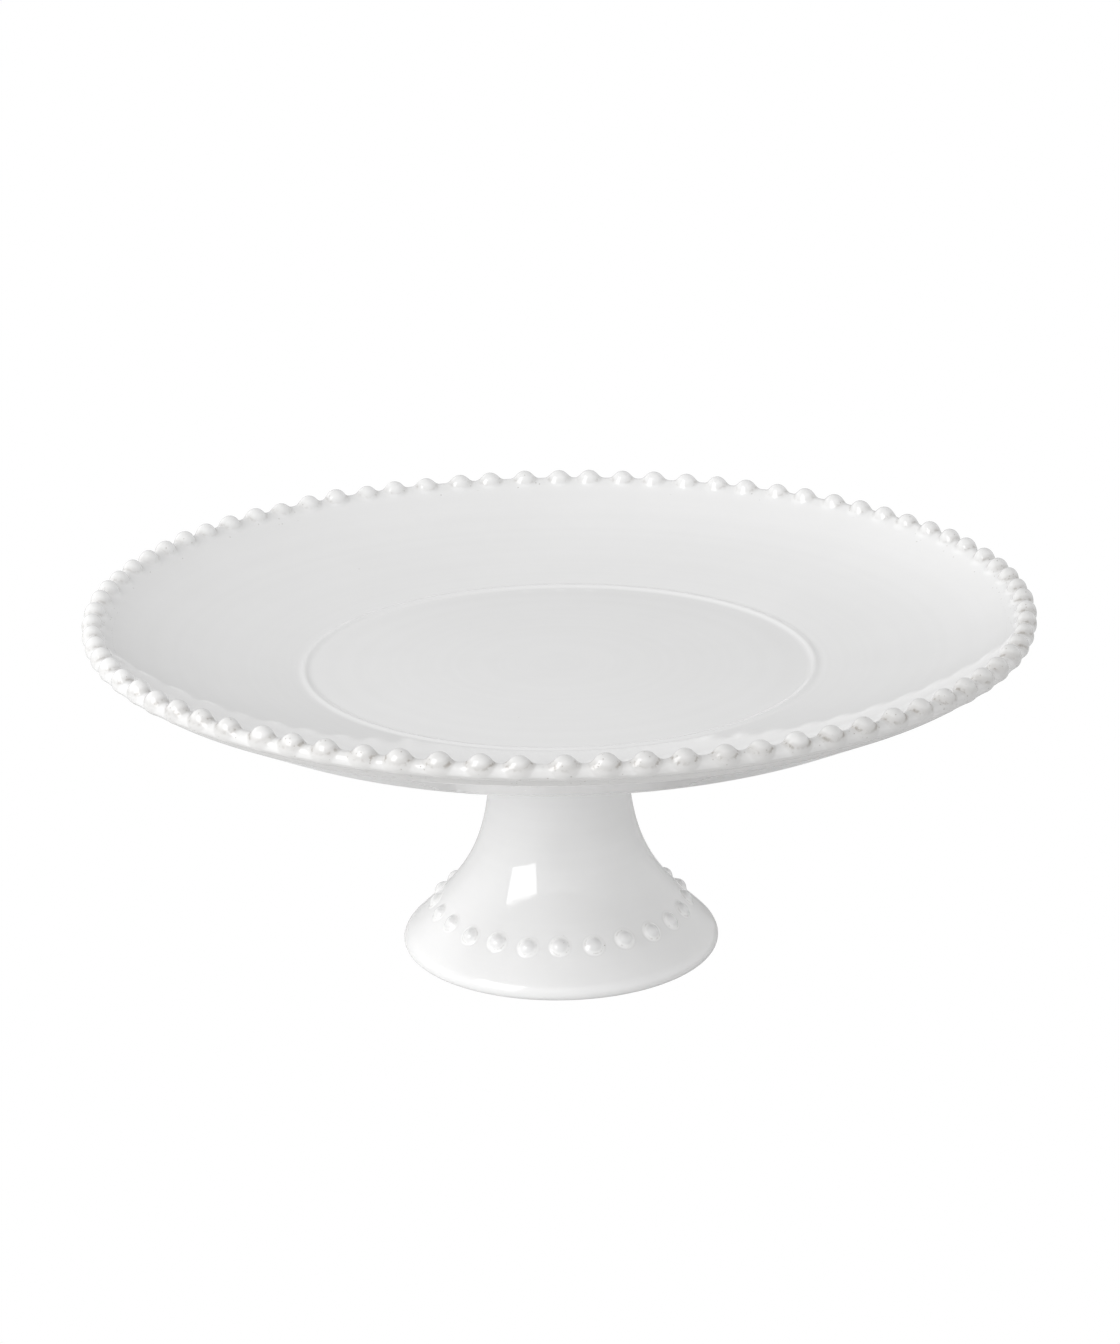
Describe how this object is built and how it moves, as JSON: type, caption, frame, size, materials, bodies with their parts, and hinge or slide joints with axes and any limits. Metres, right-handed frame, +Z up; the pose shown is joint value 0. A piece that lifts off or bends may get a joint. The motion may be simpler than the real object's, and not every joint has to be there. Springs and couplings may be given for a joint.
{
  "type": "cake stand",
  "caption": "Round coupe plate with a ring ridge and a pearl-beaded rim on a hollow flared pedestal with a ring of pearls, for serving a cake.",
  "frame": {"origin": "centre of the circle that the foot ring stands on", "axes": "+Z up along the axis the plate is turned about; the pearls start at +X"},
  "size_m": [0.3342, 0.3342, 0.1311],
  "materials": {
    "plate_glaze": "glossy off-white glaze with faint throwing rings",
    "rim_glaze": "glossy off-white glaze, warmer and darker where it pools between pearls, with fine pinhole specks",
    "pedestal_glaze": "glossy off-white glaze, bare matt clay on the foot ring",
    "coil_glaze": "glossy off-white glaze pooled in the fillet",
    "foot_pearl_glaze": "glossy off-white glaze, thin on top of each pearl and pooled round it"
  },
  "bodies": {
    "root": {"plate": "plate_glaze", "pearl_rim": "rim_glaze", "pedestal": "pedestal_glaze", "luting_coil": "coil_glaze", "foot_pearl_01": "foot_pearl_glaze", "foot_pearl_02": "foot_pearl_glaze", "foot_pearl_03": "foot_pearl_glaze", "foot_pearl_04": "foot_pearl_glaze", "foot_pearl_05": "foot_pearl_glaze", "foot_pearl_06": "foot_pearl_glaze", "foot_pearl_07": "foot_pearl_glaze", "foot_pearl_08": "foot_pearl_glaze", "foot_pearl_09": "foot_pearl_glaze", "foot_pearl_10": "foot_pearl_glaze", "foot_pearl_11": "foot_pearl_glaze", "foot_pearl_12": "foot_pearl_glaze", "foot_pearl_13": "foot_pearl_glaze", "foot_pearl_14": "foot_pearl_glaze", "foot_pearl_15": "foot_pearl_glaze", "foot_pearl_16": "foot_pearl_glaze", "foot_pearl_17": "foot_pearl_glaze", "foot_pearl_18": "foot_pearl_glaze", "foot_pearl_19": "foot_pearl_glaze", "foot_pearl_20": "foot_pearl_glaze", "foot_pearl_21": "foot_pearl_glaze", "foot_pearl_22": "foot_pearl_glaze", "foot_pearl_23": "foot_pearl_glaze", "foot_pearl_24": "foot_pearl_glaze"}
  },
  "joints": []
}
